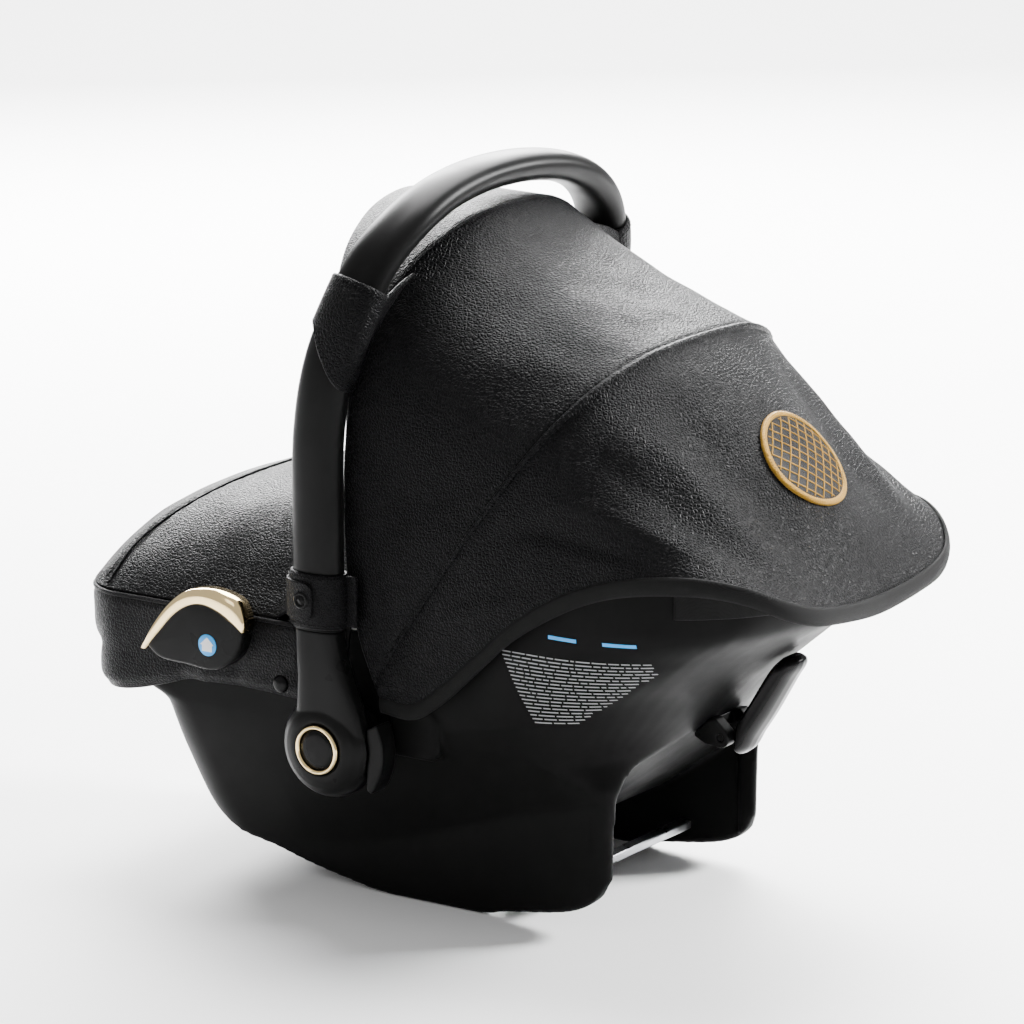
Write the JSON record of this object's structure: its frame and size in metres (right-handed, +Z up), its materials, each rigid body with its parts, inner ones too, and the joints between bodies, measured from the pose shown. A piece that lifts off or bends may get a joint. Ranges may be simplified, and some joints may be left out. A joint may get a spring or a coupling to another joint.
{
  "type": "infant car seat",
  "caption": "Rear-facing infant carrier with a rocker shell, padded cover, tilting carry handle, folding canopy, foot cover and harness.",
  "frame": {"origin": "middle of the object's box, on the surface that the rocker shell stands on", "axes": "+Z up, +Y from the foot end to the head end, +X to the seat's right hand hub seen from the foot end"},
  "size_m": [0.4432, 0.6773, 0.6055],
  "materials": {
    "shell_plastic": "satin",
    "satin_plastic": "satin",
    "gloss_plastic": "gloss",
    "faux_leather": "satin",
    "webbing": "matte",
    "knit_fabric": "matte",
    "foam": "matte",
    "steel": "satin",
    "gold_chrome": "polished",
    "gold_thread": "satin",
    "red_plastic": "gloss"
  },
  "bodies": {
    "seat": {"adjuster_housing": "satin_plastic", "adjuster_strap": "webbing", "belt_guide_left": "satin_plastic", "belt_guide_right": "satin_plastic", "belt_guide_trim_left": "gold_chrome", "belt_guide_trim_right": "gold_chrome", "buckle_housing": "gloss_plastic", "buckle_tongue_left": "steel", "buckle_tongue_right": "steel", "canopy_badge": "gold_thread", "canopy_front_panel": "faux_leather", "canopy_hem": "webbing", "canopy_rear_panel": "faux_leather", "crossbar": "steel", "crotch_pad": "knit_fabric", "crotch_strap": "webbing", "foam_liner": "foam", "foot_cover_apron": "faux_leather", "foot_cover_band": "faux_leather", "foot_cover_snap_left": "gloss_plastic", "foot_cover_snap_right": "gloss_plastic", "handle_axle_left": "steel", "handle_axle_right": "steel", "head_pad": "knit_fabric", "insert_cushion": "knit_fabric", "lever_bracket": "satin_plastic", "lever_pin": "steel", "lock_plate_left": "steel", "lock_plate_right": "steel", "seat_cover": "knit_fabric", "shell": "shell_plastic", "shoulder_pad_left": "knit_fabric", "shoulder_pad_right": "knit_fabric", "shoulder_strap_left": "webbing", "shoulder_strap_right": "webbing"},
    "handle": {"handle_tube": "satin_plastic", "canopy_front_bow": "steel", "canopy_visor": "faux_leather", "handle_hub_left": "satin_plastic", "hub_ring_left": "gold_chrome", "hub_cap_left": "gloss_plastic", "lock_spring_left": "steel", "canopy_lower_strap_left": "faux_leather", "canopy_upper_strap_left": "faux_leather", "canopy_strap_snap_left": "gloss_plastic", "handle_hub_right": "satin_plastic", "hub_ring_right": "gold_chrome", "hub_cap_right": "gloss_plastic", "lock_spring_right": "steel", "canopy_lower_strap_right": "faux_leather", "canopy_upper_strap_right": "faux_leather", "canopy_strap_snap_right": "gloss_plastic"},
    "canopy_middle_bow": {"canopy_middle_bow": "steel"},
    "handle_button_left": {"handle_button_left": "satin_plastic", "lock_gear_left": "steel"},
    "handle_button_right": {"handle_button_right": "satin_plastic", "lock_gear_right": "steel"},
    "release_lever": {"release_lever": "gloss_plastic"},
    "buckle_button": {"buckle_button": "red_plastic"},
    "adjuster_button": {"adjuster_button": "red_plastic"}
  },
  "joints": [
    {"name": "handle_tilt", "type": "hinge", "parent": "seat", "child": "handle", "pos_m": [0, -0.06365, 0.145], "axis": [-1, 0, 0], "range_deg": [0, 36], "deforming": ["canopy_front_panel", "canopy_rear_panel", "canopy_hem"]},
    {"name": "canopy_bow_fold", "type": "hinge", "parent": "seat", "child": "canopy_middle_bow", "pos_m": [0, -0.06365, 0.145], "axis": [-1, 0, 0], "range_deg": [0, 13.5], "deforming": ["canopy_front_panel", "canopy_rear_panel", "canopy_hem"]},
    {"name": "handle_button_left_press", "type": "slide", "parent": "handle", "child": "handle_button_left", "axis": [1, 0, 0], "range_m": [0, 0.004], "stiffness_N_per_m": 800, "springref_m": -0.002, "deforming": ["lock_spring_left"]},
    {"name": "handle_button_right_press", "type": "slide", "parent": "handle", "child": "handle_button_right", "axis": [-1, 0, 0], "range_m": [0, 0.004], "stiffness_N_per_m": 800, "springref_m": -0.002, "deforming": ["lock_spring_right"]},
    {"name": "release_lever_pull", "type": "hinge", "parent": "seat", "child": "release_lever", "pos_m": [0, 0.20235, 0.153], "axis": [-1, 0, 0], "range_deg": [0, 15], "stiffness_Nm_per_rad": 0.8, "springref_deg": -6.88},
    {"name": "buckle_button_press", "type": "slide", "parent": "seat", "child": "buckle_button", "axis": [0, 0.2419, -0.9703], "range_m": [0, 0.003], "stiffness_N_per_m": 800, "springref_m": -0.002},
    {"name": "adjuster_button_press", "type": "slide", "parent": "seat", "child": "adjuster_button", "axis": [0, 0, -1], "range_m": [0, 0.003], "stiffness_N_per_m": 800, "springref_m": -0.002}
  ],
  "couplings": [
    {"joint": "canopy_bow_fold", "follows": "handle_tilt", "ratio": 0.375}
  ]
}
